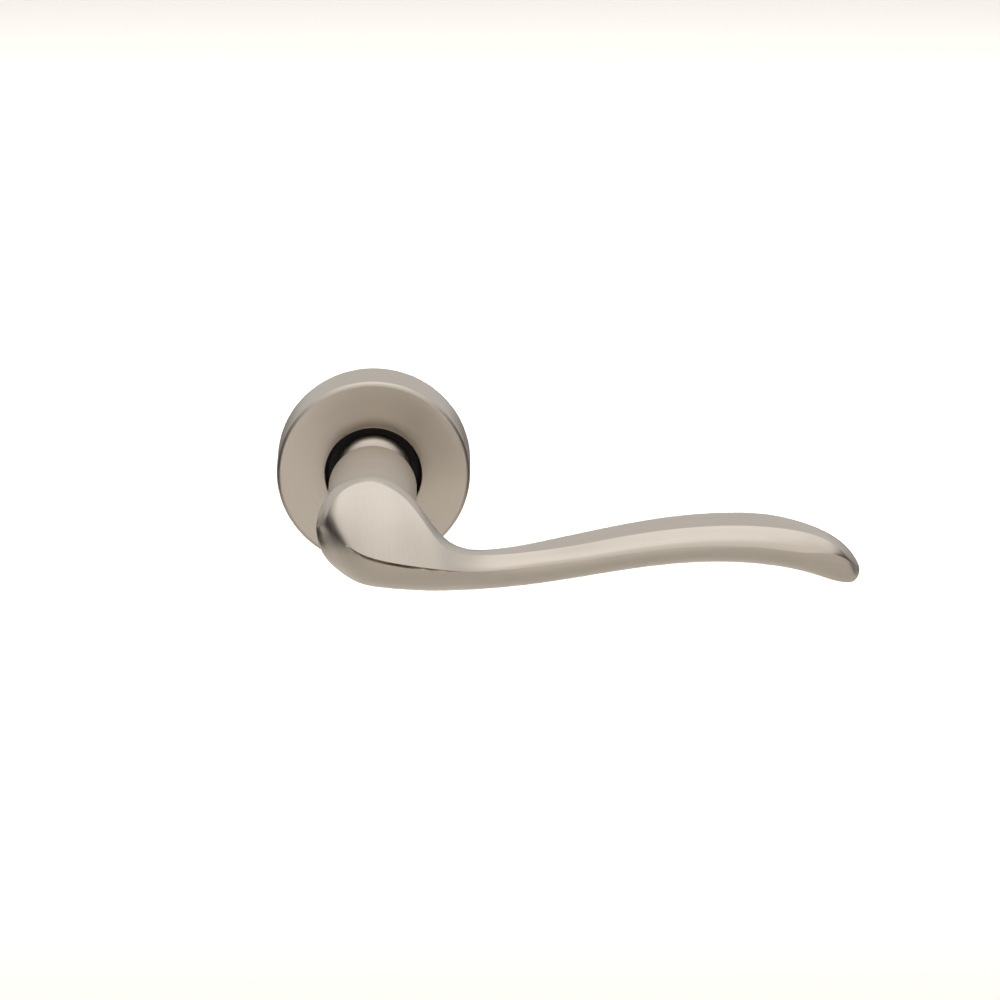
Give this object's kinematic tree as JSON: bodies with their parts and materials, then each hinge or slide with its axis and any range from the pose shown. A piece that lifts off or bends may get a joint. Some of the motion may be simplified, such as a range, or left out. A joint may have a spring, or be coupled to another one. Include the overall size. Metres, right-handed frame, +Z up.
{
  "type": "door lever handle",
  "caption": "Sprung door lever handle: S-curved satin nickel lever with a leaf-shaped head on a round slide-off rose, black base inside, with square spindle and door fixings.",
  "frame": {"origin": "on the lever's turning axis, in the plane of the door face that the rose stands on", "axes": "+X along the lever to its tip, +Y into the door, -Y out at the user, +Z up"},
  "size_m": [0.1488, 0.1213, 0.05],
  "materials": {
    "satin_nickel": "satin nickel plate on brass, finely brushed",
    "black_nylon": "moulded glass-filled nylon",
    "black_acetal": "smooth moulded acetal",
    "zinc_plated_steel": "bright zinc plate",
    "spring_steel": "oiled spring steel",
    "black_oxide_steel": "black oxide"
  },
  "bodies": {
    "base": {"mounting_plate": "black_nylon", "bearing_bush": "black_acetal", "thrust_washer": "black_acetal", "return_spring": "spring_steel", "snap_ring": "spring_steel", "support_lug_left": "zinc_plated_steel", "support_lug_right": "zinc_plated_steel", "fixing_bolt_left": "zinc_plated_steel", "fixing_bolt_right": "zinc_plated_steel", "wood_screw_1": "zinc_plated_steel", "wood_screw_2": "zinc_plated_steel", "wood_screw_3": "zinc_plated_steel", "wood_screw_4": "zinc_plated_steel"},
    "handle": {"lever": "satin_nickel", "drive_plate": "zinc_plated_steel", "wave_washer": "spring_steel", "retaining_ring": "black_oxide_steel", "spindle": "zinc_plated_steel", "grub_screw": "black_oxide_steel"},
    "rose": {"rose_cover": "satin_nickel"}
  },
  "joints": [
    {"name": "lever_turn", "type": "hinge", "parent": "base", "child": "handle", "pos_m": [0, 0, 0], "axis": [0, 1, 0], "range_deg": [0, 45], "stiffness_Nm_per_rad": 1.2, "springref_deg": -28.65, "deforming": ["return_spring"]},
    {"name": "cover_slide", "type": "slide", "parent": "base", "child": "rose", "axis": [0, -1, 0], "range_m": [0, 0.02]}
  ]
}
